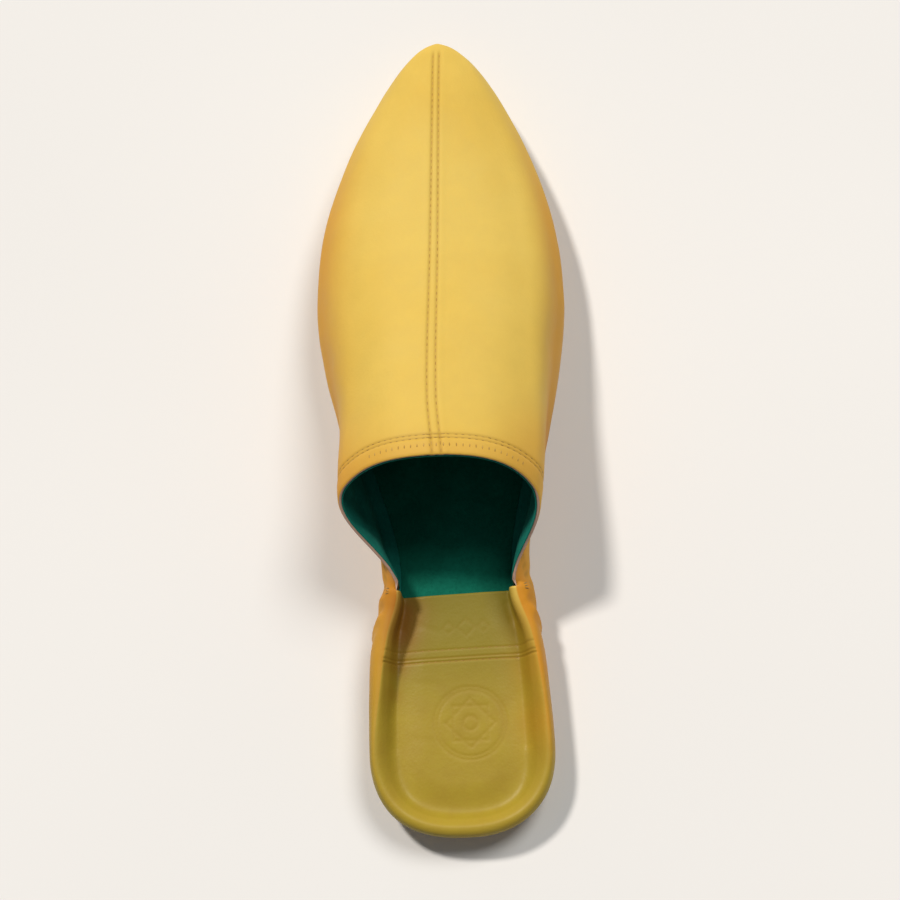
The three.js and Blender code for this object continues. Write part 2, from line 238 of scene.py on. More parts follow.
def wallPoint(side, along, part, t):
    if part == "margin":
        power = 2 / last["turn"]
        angle = t * math.pi / 2
        further = last["margin"] * (1 - math.sin(angle) ** power)
        flat = outline(side, along) + inwardAt(side, along) * further
        tread = lift(flat.y) + last["sole"] + last["gap"]
        return Vector((flat.x, flat.y, mix(read("widest", along), tread, max(0, math.cos(angle)) ** power)))
    widest, line, shoulder, crown = sectionAt(side, along)
    rolls = min(max(1 - (along - pattern["corner"]) / pattern["rollEnd"], 0), 1) ** 2
    curve = pattern["quarterCurve"]
    tangent = (mix(shoulder[0] / 2, curve * line[0], rolls), mix((shoulder[1] - widest[1]) / 2, 0, rolls))
    return atPlace(side, along, *cubic(widest, (0, curve * (line[1] - widest[1])), line, tangent, t))


def vampPoint(side, along, t):  # t is 0 at the line and 1 at the centre seam
    widest, line, shoulder, crown = sectionAt(side, along)
    middle = ((crown[0] - line[0]) / 2, (crown[1] - line[1]) / 2)
    if t <= 0.5:
        start = (shoulder[0] / 2, (shoulder[1] - widest[1]) / 2)
        return atPlace(side, along, *cubic(line, start, shoulder, middle, t * 2))
    top = (pattern["quarterCurve"] * (crown[0] - shoulder[0]), 0)
    return atPlace(side, along, *cubic(shoulder, middle, crown, top, t * 2 - 1))


def foldPoint(side, along, part, t):  # the quarter rolls over its crest and lies flat inside
    line = sectionAt(side, along)[1]
    name = "Lateral" if side == lateral else "Medial"
    face = (line[0] + read("face" + name, along), line[1] - read("faceDrop", along))
    floor = lift(along) + flapRise
    hollow = min(floor + pattern["footRise"], face[1] - 0.3)
    angle = t * math.pi / 2
    foot = (face[0] + 0.1 + read("foot" + name, along), floor)
    sharp = {  # at the corner the leather folds over tightly
        "face": (mix(line[0], face[0], math.sin(angle)), mix(face[1], line[1], math.cos(angle))),
        "drop": (face[0] + 0.1 * t, mix(face[1], hollow, t)),
        "foot": (mix(face[0] + 0.1, foot[0], 1 - math.cos(angle)), mix(hollow, floor, math.sin(angle))),
        "flat": foot,
    }[part]
    way = {"face": 0.4 * t, "drop": 0.4 + 0.15 * t, "foot": 0.55 + 0.45 * t, "flat": 1}[part]
    # further back it slopes down softly
    soft = (mix(line[0], foot[0], way), mix(line[1], floor, ease(way)))
    softness = ease((pattern["softFrom"] - along) / pattern["softOver"])
    foot = atPlace(side, along, mix(sharp[0], soft[0], softness), mix(sharp[1], soft[1], softness))
    if part != "flat":
        return foot
    if along >= last["heelDepth"]:
        return foot.lerp(Vector(((read("medial", along) - read("lateral", along)) / 2, along, floor)), t)
    return foot.lerp(Vector((heelCentre, last["heelDepth"], flapRise)), t)


def throatAlong(side, t):
    return mix(pattern["throat"], pattern["corner"], (1 - t) ** pattern["fullness"][side])


def spread(*stops):  # places between the stops, with the number of steps given before each
    places = [stops[0]]
    for steps, end in zip(stops[1::2], stops[2::2]):
        start = places[-1]
        places += [mix(start, end, i / steps) for i in range(1, steps + 1)]
    return places


def gridOf(bm, columns, rows, pointAt):  # a flat grid, then each of its points goes to its place
    made = bmesh.ops.create_grid(bm, x_segments=columns, y_segments=rows, size=0.5)["verts"]
    for v in made:
        v.co = pointAt(round((v.co.x + 0.5) * columns), round((v.co.y + 0.5) * rows))
    return made


def upperSheet(wall, vamp, bandWidth, toeRows, bandRows, fold, foldPlaces):
    # wall and fold list the columns as (part, t), and the band lies along the throat edge
    bm = bmesh.new()
    share = bm.verts.layers.float.new("share")
    flap = bm.verts.layers.float.new("flap")
    for side in (lateral, medial):
        up = wall + [("vamp", t) for t in vamp]

        def vampAt(column, row):
            part, t = up[column]
            end = throatAlong(side, t if part == "vamp" else 0)
            if row > toeRows:
                along = end + bandWidth * (1 - (row - toeRows) / bandRows)
            else:
                way = mix((row / toeRows) ** 1.6, ease(row / toeRows), 0.55)
                along = mix(last["length"], end + bandWidth, way)
            return wallPoint(side, along, part, t) if part != "vamp" else vampPoint(side, along, t)

        across = wall + fold

        def foldAt(column, row):
            part, t = across[column]
            point = foldPoint if part in ("face", "drop", "foot", "flat") else wallPoint
            return point(side, foldPlaces[row], part, t)

        columns = len(up) - 1
        for i, v in enumerate(gridOf(bm, columns, toeRows + bandRows, vampAt)):
            part, t = up[i % (columns + 1)]
            v[share] = t if part == "vamp" else 0
        columns = len(across) - 1
        for i, v in enumerate(gridOf(bm, columns, len(foldPlaces) - 1, foldAt)):
            part, t = across[i % (columns + 1)]
            folded = {"face": t * 0.4, "drop": 0.4 + t * 0.2, "foot": 0.6 + t * 0.4, "flat": 1}
            v[flap] = folded.get(part, 0)
    bmesh.ops.remove_doubles(bm, verts=bm.verts, dist=0.012)
    for v in bm.verts:  # the quarter was cut slightly aslant
        slanted = ease((v.co.y - pattern["slantFrom"]) / pattern["slantOver"])
        v.co.y += pattern["edgeSlant"] * (v.co.x + 4) * ease((v[flap] - 0.5) * 2) * slanted
    bmesh.ops.recalc_face_normals(bm, faces=bm.faces)
    bm.normal_update()
    top = max(bm.faces, key=lambda face: face.calc_center_median().z)
    if top.normal.z < 0:
        bmesh.ops.reverse_faces(bm, faces=bm.faces)
        bm.normal_update()
    return bm


def evenNormals(bm, passes):  # keeps the inside of a tight curve smooth
    normals = {v: v.normal.copy() for v in bm.verts}
    for turn in range(passes):
        before = normals
        normals = {}
        for v in bm.verts:
            total = before[v] * 2
            for edge in v.link_edges:
                total = total + before[edge.other_vert(v)]
            normals[v] = total.normalized()
    return normals


def finishedPiece(name, bm, materials, replaced=()):
    bmesh.ops.transform(bm, matrix=Matrix.Scale(mm, 4) @ Matrix.Translation(shoeOrigin), verts=bm.verts)
    mesh = bpy.data.meshes.new(name)
    bm.to_mesh(mesh)
    bm.free()
    mesh.polygons.foreach_set("use_smooth", [True] * len(mesh.polygons))
    for material in materials:
        mesh.materials.append(material)
    piece = bpy.data.objects.new(name, mesh)
    scene.collection.objects.link(piece)
    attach(piece, "root")
    for node in replaced:
        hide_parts(node)
    print(name, len(mesh.polygons), "faces")
    return piece


# Finishes

def linear(colour):
    channels = [int(colour[i:i + 2], 16) / 255 for i in (1, 3, 5)]
    return tuple(c / 12.92 if c <= 0.04045 else ((c + 0.055) / 1.055) ** 2.4 for c in channels) + (1.0,)


def perMetre(size):  # the texture scale whose features are this many mm
    return 1 / (size * mm)


def addNode(tree, kind, output, sockets=(), settings=()):  # gives back the output that is used further on
    made = tree.nodes.new(kind)
    for name, value in dict(settings).items():
        setattr(made, name, value)
    for name, value in dict(sockets).items():
        if isinstance(value, bpy.types.NodeSocket):
            tree.links.new(value, made.inputs[name])
        else:
            made.inputs[name].default_value = value
    return made.outputs[output] if made.outputs else made


def newMaterial(name):
    material = bpy.data.materials.new(name)
    material.use_nodes = True
    tree = material.node_tree
    tree.nodes.clear()
    return material, tree


ofColours = {"data_type": "RGBA"}  # a Mix node then takes its colours at inputs 6 and 7 and gives output 2

goatskin = {
    "dye": "#D6B44E",
    "dyePale": "#DABC5A",
    # painted shade and bounced light: the orange of the shaded sides
    "shadeOrange": "#CE8C22",
    "burnished": "#AE9730",
    "burnishedDeep": "#A3892A",
    # the steep walls and the heel darken to this, and so does painted shade on the flap towards the vamp
    "rubbedAndShaded": "#7F7423",
    # painted shadow that the outer wall casts on the flap
    "paintedShadow": "#854010",
    "line": "#94701F",
    "patch": 55.0,  # mm
    "mottle": 9.0,
    "pore": 0.9,  # real pores are 0.2 to 0.3 mm and would not show
    "crinkle": 3.4,
    "rough": (0.52, 0.63),
    "glazed": 0.11,  # how much less rough the burnished places are
}


def yellowGoatskin():
    # Vegetable tanned goatskin, dyed yellow by hand and glazed: satin, with cloudy dye, and darker and
    # glossier where the folded quarter has been burnished and rubbed. Shade is painted into the colour as
    # well: a deeper orange down the shaded sides, darkening on the flap towards the vamp, and a shadow cast
    # on the flap by the outer wall.
    material, tree = newMaterial("yellow_goatskin_glazed")
    at = addNode(tree, "ShaderNodeTexCoord", "Object")
    patch = addNode(tree, "ShaderNodeTexNoise", "Fac", {
        "Vector": at, "Scale": perMetre(goatskin["patch"]), "Detail": 3.0, "Roughness": 0.5})
    mottle = addNode(tree, "ShaderNodeTexNoise", "Fac", {
        "Vector": at, "Scale": perMetre(goatskin["mottle"]), "Detail": 5.0, "Roughness": 0.62})
    pore = addNode(tree, "ShaderNodeTexVoronoi", "Distance", {
        "Vector": at, "Scale": perMetre(goatskin["pore"]), "Randomness": 1.0}, {"feature": "F1"})
    crinkle = addNode(tree, "ShaderNodeTexNoise", "Fac", {
        "Vector": at, "Scale": perMetre(goatskin["crinkle"]), "Detail": 4.0, "Roughness": 0.6,
        "Distortion": 0.8})
    groove, burnish, sideShade, rubAndShade, flapShadow = (
        addNode(tree, "ShaderNodeAttribute", "Fac", settings={"attribute_name": name})
        for name in ("groove", "burnish", "sideShade", "rubAndShade", "flapShadow")
    )

    cloudy = addNode(tree, "ShaderNodeMapRange", 0, {"Value": patch, "From Min": 0.35, "From Max": 0.65})
    dyed = addNode(tree, "ShaderNodeMix", 2, {
        "Factor": cloudy, 6: linear(goatskin["dye"]), 7: linear(goatskin["dyePale"])}, ofColours)
    spotted = addNode(tree, "ShaderNodeMapRange", 0, {"Value": mottle, "From Min": 0.35, "From Max": 0.7})
    burnished = addNode(tree, "ShaderNodeMix", 2, {
        "Factor": spotted, 6: linear(goatskin["burnished"]), 7: linear(goatskin["burnishedDeep"])}, ofColours)
    colour = addNode(tree, "ShaderNodeMix", 2, {"Factor": burnish, 6: dyed, 7: burnished}, ofColours)
    # painted shade and shadow go on here, over the dye and the burnish
    for share, tone in ((rubAndShade, "rubbedAndShaded"), (sideShade, "shadeOrange"), (flapShadow, "paintedShadow")):
        colour = addNode(tree, "ShaderNodeMix", 2, {
            "Factor": share, 6: colour, 7: linear(goatskin[tone])}, ofColours)
    shade = addNode(tree, "ShaderNodeMapRange", 0, {
        "Value": mottle, "From Min": 0.3, "From Max": 0.7, "To Min": 0.97, "To Max": 1.02})
    shades = addNode(tree, "ShaderNodeCombineColor", 0, {"Red": shade, "Green": shade, "Blue": shade})
    colour = addNode(tree, "ShaderNodeMix", 2, {
        "Factor": 1.0, 6: colour, 7: shades}, {"data_type": "RGBA", "blend_type": "MULTIPLY"})
    colour = addNode(tree, "ShaderNodeMix", 2, {
        "Factor": groove, 6: colour, 7: linear(goatskin["line"])}, ofColours)

    rough = addNode(tree, "ShaderNodeMapRange", 0, {
        "Value": mottle, "From Min": 0.3, "From Max": 0.7,
        "To Min": goatskin["rough"][0], "To Max": goatskin["rough"][1]})
    less = addNode(tree, "ShaderNodeMath", 0, {0: burnish, 1: goatskin["glazed"]}, {"operation": "MULTIPLY"})
    rough = addNode(tree, "ShaderNodeMath", 0, {0: rough, 1: less}, {"operation": "SUBTRACT"})
    softly = addNode(tree, "ShaderNodeBump", 0, {"Height": crinkle, "Strength": 0.16, "Distance": 0.5 * mm})
    grained = addNode(tree, "ShaderNodeBump", 0, {
        "Height": pore, "Strength": 0.10, "Distance": 0.25 * mm, "Normal": softly})
    shader = addNode(tree, "ShaderNodeBsdfPrincipled", 0, {
        "Base Color": colour, "Roughness": rough, "Normal": grained, "IOR": 1.45, "Specular IOR Level": 0.3,
        "Subsurface Weight": 0.03, "Subsurface Radius": (0.9 * mm, 0.5 * mm, 0.2 * mm),
        "Subsurface Scale": 1.0})
    addNode(tree, "ShaderNodeOutputMaterial", None, {"Surface": shader})
    return material


cutEdge = {"flesh": "#B98F7C", "fleshPale": "#D6B7A6", "fibre": 0.5}


def rawLeatherEdge():
    # The cut edge of the skin: undyed, pinkish and fibrous, quite matt.
    material, tree = newMaterial("cut_leather_edge")
    at = addNode(tree, "ShaderNodeTexCoord", "Object")
    fibre = addNode(tree, "ShaderNodeTexNoise", "Fac", {
        "Vector": at, "Scale": perMetre(cutEdge["fibre"]), "Detail": 4.0})
    colour = addNode(tree, "ShaderNodeMix", 2, {
        "Factor": fibre, 6: linear(cutEdge["flesh"]), 7: linear(cutEdge["fleshPale"])}, ofColours)
    rough = addNode(tree, "ShaderNodeMapRange", 0, {"Value": fibre, "To Min": 0.75, "To Max": 0.95})
    fibrous = addNode(tree, "ShaderNodeBump", 0, {"Height": fibre, "Strength": 0.4, "Distance": 0.2 * mm})
    shader = addNode(tree, "ShaderNodeBsdfPrincipled", 0, {
        "Base Color": colour, "Roughness": rough, "Normal": fibrous})
    addNode(tree, "ShaderNodeOutputMaterial", None, {"Surface": shader})
    return material


sheepskin = {
    "insole": ("#045F4D", "#0C7460"),
    "lining": ("#0A6C60", "#1E8879"),  # less worn than the insole, so a little paler and bluer
    "darkened": "#033E31",
    "cloud": 16.0,
    "nap": 1.2,
}


def greenSheepskin(name, dyes, worn):
    # Thin sheepskin dyed green on the flesh side, as lining and insole: matt, with a short nap
    # that is lighter in clouds and darker where the foot has pressed it.
    material, tree = newMaterial(name)
    at = addNode(tree, "ShaderNodeTexCoord", "Object")
    cloud = addNode(tree, "ShaderNodeTexNoise", "Fac", {
        "Vector": at, "Scale": perMetre(sheepskin["cloud"]), "Detail": 4.0, "Roughness": 0.6})
    nap = addNode(tree, "ShaderNodeTexNoise", "Fac", {
        "Vector": at, "Scale": perMetre(sheepskin["nap"]), "Detail": 6.0, "Roughness": 0.75})
    cloudy = addNode(tree, "ShaderNodeMapRange", 0, {"Value": cloud, "From Min": 0.35, "From Max": 0.7})
    colour = addNode(tree, "ShaderNodeMix", 2, {
        "Factor": cloudy, 6: linear(dyes[0]), 7: linear(dyes[1])}, ofColours)
    pressed = addNode(tree, "ShaderNodeMapRange", 0, {
        "Value": nap, "From Min": 0.45, "From Max": 0.8, "To Max": worn})
    colour = addNode(tree, "ShaderNodeMix", 2, {
        "Factor": pressed, 6: colour, 7: linear(sheepskin["darkened"])}, ofColours)
    rough = addNode(tree, "ShaderNodeMapRange", 0, {
        "Value": nap, "From Min": 0.3, "From Max": 0.7, "To Min": 0.72, "To Max": 0.92})
    napped = addNode(tree, "ShaderNodeBump", 0, {"Height": nap, "Strength": 0.35, "Distance": 0.25 * mm})
    shader = addNode(tree, "ShaderNodeBsdfPrincipled", 0, {
        "Base Color": colour, "Roughness": rough, "Normal": napped, "Specular IOR Level": 0.12,
        "Sheen Weight": 0.02, "Sheen Roughness": 0.5})
    addNode(tree, "ShaderNodeOutputMaterial", None, {"Surface": shader})
    return material


soleHide = {
    "tan": "#B98A52",
    "tanPale": "#CBA06A",
    "tanDark": "#8C6234",
    "cloud": 30.0,
    "fibre": 0.8,
    "scuff": 2.5,
    "scuffStretch": (1.0, 0.08, 1.0),  # scuffs run along the foot
}


def soleLeather():
    # Thick vegetable tanned cowhide, rolled hard: pale tan, cloudy, with scuffs, and a rougher edge.
    material, tree = newMaterial("sole_cowhide_rolled")
    at = addNode(tree, "ShaderNodeTexCoord", "Object")
    cloud = addNode(tree, "ShaderNodeTexNoise", "Fac", {
        "Vector": at, "Scale": perMetre(soleHide["cloud"]), "Detail": 6.0, "Roughness": 0.6})
    fibre = addNode(tree, "ShaderNodeTexNoise", "Fac", {
        "Vector": at, "Scale": perMetre(soleHide["fibre"]), "Detail": 5.0, "Roughness": 0.7})
    stretched = addNode(tree, "ShaderNodeMapping", 0, {"Vector": at, "Scale": soleHide["scuffStretch"]})
    scuff = addNode(tree, "ShaderNodeTexNoise", "Fac", {
        "Vector": stretched, "Scale": perMetre(soleHide["scuff"]), "Detail": 3.0})
    cloudy = addNode(tree, "ShaderNodeMapRange", 0, {"Value": cloud, "From Min": 0.35, "From Max": 0.65})
    colour = addNode(tree, "ShaderNodeMix", 2, {
        "Factor": cloudy, 6: linear(soleHide["tan"]), 7: linear(soleHide["tanPale"])}, ofColours)
    for grain, low, most in ((scuff, 0.62, 0.35), (fibre, 0.5, 0.25)):
        marked = addNode(tree, "ShaderNodeMapRange", 0, {
            "Value": grain, "From Min": low, "From Max": 0.8, "To Max": most})
        colour = addNode(tree, "ShaderNodeMix", 2, {
            "Factor": marked, 6: colour, 7: linear(soleHide["tanDark"])}, ofColours)
    rough = addNode(tree, "ShaderNodeMapRange", 0, {
        "Value": cloud, "From Min": 0.3, "From Max": 0.7, "To Min": 0.5, "To Max": 0.68})
    worn = addNode(tree, "ShaderNodeBump", 0, {"Height": fibre, "Strength": 0.2, "Distance": 0.2 * mm})
    shader = addNode(tree, "ShaderNodeBsdfPrincipled", 0, {
        "Base Color": colour, "Roughness": rough, "Normal": worn})
    addNode(tree, "ShaderNodeOutputMaterial", None, {"Surface": shader})
    return material


thread = {
    "yellow": ("#BC9440", "#AA8232"),
    "brown": ("#A27C34", "#8A6526"),
    "natural": ("#D8C6A0", "#A88E62"),
    "ply": 3.6,  # real plies are 0.6 mm apart and would not show
}


def waxedThread(name, pale, dark):
    # Two ply linen thread drawn through wax: a dull gloss, darker between the plies.
    material, tree = newMaterial(name)
    at = addNode(tree, "ShaderNodeTexCoord", "Object")
    ply = addNode(tree, "ShaderNodeTexWave", "Fac", {
        "Vector": at, "Scale": perMetre(thread["ply"]), "Distortion": 1.0},
        {"wave_type": "BANDS", "bands_direction": "DIAGONAL"})
    colour = addNode(tree, "ShaderNodeMix", 2, {"Factor": ply, 6: linear(pale), 7: linear(dark)}, ofColours)
    rough = addNode(tree, "ShaderNodeMapRange", 0, {"Value": ply, "To Min": 0.45, "To Max": 0.65})
    twisted = addNode(tree, "ShaderNodeBump", 0, {"Height": ply, "Strength": 0.3, "Distance": 0.1 * mm})
    shader = addNode(tree, "ShaderNodeBsdfPrincipled", 0, {
        "Base Color": colour, "Roughness": rough, "Normal": twisted})
    addNode(tree, "ShaderNodeOutputMaterial", None, {"Surface": shader})
    return material


leather = yellowGoatskin()
edge = rawLeatherEdge()
liningSkin = greenSheepskin("green_sheepskin_lining", sheepskin["lining"], 0.3)
insoleSkin = greenSheepskin("green_sheepskin_insole", sheepskin["insole"], 0.5)
sole = soleLeather()
seamThread = waxedThread("waxed_linen_yellow", *thread["yellow"])
edgeThread = waxedThread("waxed_linen_brown", *thread["brown"])
soleThread = waxedThread("waxed_linen_natural", *thread["natural"])
print("finishes made")


# Upper leather

detail = {  # mm
    "seamHalf": (1.5, 1.1),  # half the space between the seam's grooves, at the throat and the toe
    "seamGroove": (0.46, 0.3, 0.36),  # each groove's width, depth, and share of the line's colour
    "seamRib": 0.14,  # how far the rib stands up between its grooves
    "seamSwell": (1.5, 1.2, 0.2),  # outside them the skin swells: how far out, how wide and how high
    "seamToe": 282.6,
    "throatLines": (6.3, 7.6),  # from the throat edge
    "throatGroove": (0.36, 0.24, 0.4),
    "throatHem": (1.2, 0.12),  # the hem in front of the sewing: the width and height of its step
    "throatRound": (0.9, 0.3),  # the cut edge is rounded: how wide and how deep
    "tickIn": 3.8,  # from the throat edge to a tick's middle
    "tickPitch": 2.15,
    "tickFrom": -24.0,  # sideways places of the first and last tick
    "tickTo": 31.0,
    "flapLines": (60.0, 61.2, 64.0),
    "flapSlant": 0.028,
    "flapGroove": (0.34, 0.26, 0.6),
    "flapShares": (1, 0.7, 0.45),  # how strong each of the lines is
    "flapDome": 0.9,  # the quarter lies slightly arched over the insole
    "domeFrom": 0.5,
    "domeOver": 9.0,
    "backSoftness": 16,  # how many times the fold at the back is smoothed, and how near its foot
    "backReach": 4.5,
    "starCentre": (3.9, 38.5),
    "starHalf": 5.9,
    "starRings": (2.4, 11.2, 12.4),
    "starReach": 13.0,
    "starGroove": (0.55, 0.13, 0.12),
    "diamondGroove": (0.55, 0.1, 0.1),
    "shadedPlaces": (  # places of painted shade and bounced light, a deeper orange: (x, y, width, share)
        (-38, 120, 18, 0.35), (34, 124, 15, 0.45), (26, 74, 7, 0.3), (30, 58, 9, 0.4), (31, 38, 10, 0.35),
    ),
    # painted shadow that the outer wall casts on the flap: (x, y, width, share)
    "paintedShadow": ((-17.5, 78, 7, 0.58), (-19, 68.5, 6, 0.5), (-20.5, 59, 4.5, 0.35), (-21.5, 49, 3, 0.2)),
    "diamonds": ((3.4, 71.5, 3.0), (-2.6, 71.3, 1.9), (9.4, 71.7, 1.9)),  # (x, y, half)
    "waves": (26.0, 9.0),  # lengths of the skin's soft unevenness
    "waveHeights": (0.22, 0.08),
    "flapWaveHeights": (0.28, 0.08),
}

# Creases set where the skin has bent: (start, end, width, depth), a negative depth is a ridge
creases = (
    ((-19, 15, 10), (-9, 10.2, 10), 1.8, 0.2),
    ((-9, 10.2, 10), (3, 8.6, 10), 1.8, 0.3),
    ((3, 8.6, 10), (15, 10.2, 10), 1.8, 0.3),
    ((15, 10.2, 10), (23, 17, 10), 1.8, 0.2),
    ((-24.5, 79, 18), (-28.8, 71, 8), 1.9, 0.8),
    ((-25.5, 73, 17), (-30.4, 63, 8), 2.2, 0.55),
    ((-24.0, 84, 18), (-25.6, 88, 8), 2.2, 0.7),
    ((-24.8, 76.5, 17), (-29.6, 67, 8), 1.8, -0.6),
    ((-24.4, 81.5, 18), (-26.8, 79.5, 8), 1.8, -0.5),
    ((25.5, 80, 19), (29.2, 73, 8), 1.9, 0.7),
    ((26.5, 74, 17), (30.6, 64, 8), 2.2, 0.5),
    ((25.2, 86, 20), (26.4, 90, 8), 2.2, 0.6),
    ((26, 77, 18), (30, 69, 8), 1.8, -0.5),
    ((-17.5, 81, 9), (-19.5, 70, 9), 1.6, 0.3),
    ((17, 81, 9), (20.5, 72, 9), 1.6, 0.3),
    ((-14, 73, 9), (-4, 69.5, 9), 1.3, 0.09),
    ((-16, 53, 9), (-4, 51.6, 9), 1.4, 0.05),
    ((-17, 34, 9), (-7, 32.4, 9), 1.4, 0.05),
    ((-34, 140, 14), (-33, 132, 30), 4.5, 0.35),
    ((-42, 168, 14), (-36, 160, 32), 5.0, 0.3),
    ((34, 141, 14), (31, 134, 30), 4.5, 0.3),
    ((39.5, 172, 14), (34, 163, 32), 5.0, 0.28),
    ((-30, 121, 16), (-34, 108, 30), 4.0, 0.4),
    ((29.5, 121, 16), (28.5, 108, 30), 4.0, 0.35),
)


def segmentDistance(p, start, end):
    along = end - start
    t = min(max((p - start).dot(along) / along.length_squared, 0), 1)
    fade = ease(min(t, 1 - t) * 4 + 0.25)
    return (p - start - along * t).length, fade


def starLines(x, y):  # nearest line of an eight-pointed star of two squares, within plain rings
    across = max(abs(x), abs(y))
    diagonal = (abs(x) + abs(y)) / math.sqrt(2)
    rings = [abs(math.hypot(x, y) - ring) for ring in detail["starRings"]]
    return min(abs(across - detail["starHalf"]), abs(diagonal - detail["starHalf"]), *rings)


def reliefAt(p, share, flap, edgeDistance, footDistance):  # (height, groove) of the leather at a place
    height = 0.0
    groove = 0.0
    if share > 0.5:
        toThroat = ease((last["length"] - p.y) / (last["length"] - pattern["throat"]))
        half = mix(detail["seamHalf"][1], detail["seamHalf"][0], toThroat)
        d = abs(p.x - read("seam", p.y))
        fade = ease((detail["seamToe"] - p.y) / 3)
        width, depth, tone = detail["seamGroove"]
        line = bump(d - half, width)
        swellOut, swellWidth, swell = detail["seamSwell"]
        height += fade * detail["seamRib"] * bump(d, half * 0.75)
        height += fade * swell * bump(d - half - swellOut, swellWidth)
        height -= fade * depth * line
        groove += fade * tone * line
    if flap == 0 and edgeDistance < 10:
        width, depth, tone = detail["throatGroove"]
        for line in detail["throatLines"]:  # they run out at the corners
            near = bump(edgeDistance - line, width) * ease((p.y - 81) / 4)
            height -= depth * near
            groove += tone * near
        hemStep, hem = detail["throatHem"]
        height += hem * ease((detail["throatLines"][0] - edgeDistance) / hemStep)
        roundWidth, roundDepth = detail["throatRound"]
        height -= roundDepth * ease((roundWidth - edgeDistance) / roundWidth)
    if flap > 0:
        level = p.y - detail["flapSlant"] * p.x
        width, depth, tone = detail["flapGroove"]
        for line, strength in zip(detail["flapLines"], detail["flapShares"]):
            near = bump(level - line, width) * strength
            height -= depth * near
            groove += tone * near
    if flap == 1:
        height += detail["flapDome"] * ease((footDistance - detail["domeFrom"]) / detail["domeOver"])
        x, y = p.x - detail["starCentre"][0], p.y - detail["starCentre"][1]
        if max(abs(x), abs(y)) < detail["starReach"]:
            width, depth, tone = detail["starGroove"]
            near = bump(starLines(x, y), width)
            height -= depth * near
            groove += tone * near
        width, depth, tone = detail["diamondGroove"]
        for dx, dy, half in detail["diamonds"]:
            near = bump(abs(p.x - dx) + abs(p.y - dy) - half, width)
            height -= depth * near
            groove += tone * near
    for start, end, width, depth in creaseLines:
        if abs(p.y - (start.y + end.y) / 2) > 20:  # too far off to be felt
            continue
        d, fade = segmentDistance(p, start, end)
        if d < width * 2.5:
            height -= depth * fade * bump(d, width)
    heights = detail["flapWaveHeights" if flap else "waveHeights"]
    height += sum(wave * noise.noise(p / length) for length, wave in zip(detail["waves"], heights))
    return height, min(groove, 1)


creaseLines = [(Vector(a), Vector(b), width, depth) for a, b, width, depth in creases]
leatherWall = [("margin", t) for t in spread(0, 9, 1)[:-1]] + [("wall", t) for t in spread(0, 9, 1)]
leatherVamp = spread(0, 34, 0.95, 17, 1)[1:]
leatherFold = (
    [("face", t) for t in spread(0, 9, 1)[1:]] + [("drop", t) for t in spread(0, 3, 1)[1:]]
    + [("foot", t) for t in spread(0, 6, 1)[1:]] + [("flat", t) for t in spread(0, 6, 0.2, 40, 1)[1:]]
)
foldPlaces = spread(83, 14, 73, 10, 67, 6, 65, 20, 59, 16, 51, 44, 30)
foldPlaces += [last["heelDepth"] * (1 - math.sin(i / 34 * math.pi / 2)) for i in range(1, 35)]

bm = upperSheet(leatherWall, leatherVamp, 10.0, 128, 24, leatherFold, foldPlaces)
throatEdge = []
edgeSteps = 900  # on each side
for side in (lateral, medial):
    shares = spread(0, edgeSteps, 1)
    points = [vampPoint(side, throatAlong(side, t), t) for t in shares]
    throatEdge += points if side == lateral else points[::-1][1:]
edgeTree = KDTree(len(throatEdge))
for i, p in enumerate(throatEdge):
    edgeTree.insert(p, i)
edgeTree.balance()

footLine = []  # where the folded quarter comes down to the flat
for side in (lateral, medial):
    footLine += [foldPoint(side, along, "foot", 1) for along in foldPlaces]
footTree = KDTree(len(footLine))
for i, p in enumerate(footLine):
    footTree.insert(p, i)
footTree.balance()

edgeRun = [0.0]  # length along the throat edge, from the centre seam
for a, b in zip(throatEdge, throatEdge[1:]):
    edgeRun.append(edgeRun[-1] + (b - a).length)
middleRun = edgeRun[edgeSteps]
edgeRun = [run - middleRun for run in edgeRun]

# How the skin has worn and taken its dye, with painted shade and bounced light among them, as shares from 0
# to 1.
# A pair is the place where a change starts, in mm from the heel, and the length that it takes.
wear = {
    "gloss": 0.85,
    "glossGrows": (88, 46),
    # painted shade on the flap, growing towards the vamp that shades it
    "darkened": 0.85,
    "vampShadeGrows": (22, 58),
    # darker on the steep walls towards the heel, where the surface turns from facing up
    "steepDark": 0.5,
    "steepDarkGrows": (90, 55),
    "steepDarkInside": 0.4,  # the inner side is darkened this much less
    "heelRub": 0.2,
    "heelRubGrows": (88, 45),
    # painted shade and bounced light: a deeper orange down the sides and along the throat edge
    "shadeSides": 0.7,
    "shadeHeel": (10, 75),
    "shadeToe": (268, 60),
    "shadeReach": {lateral: 0.66, medial: 0.5},  # how far up the vamp the painted orange shade comes
    "shadeEdge": 0.3,
    "shadeEdgeReach": 12.0,
}


def heelward(y, start, over):  # 0 in front of the start and 1 once it is that much nearer to the heel
    return ease((start - y) / over)


def toeward(y, start, over):
    return ease((y - start) / over)
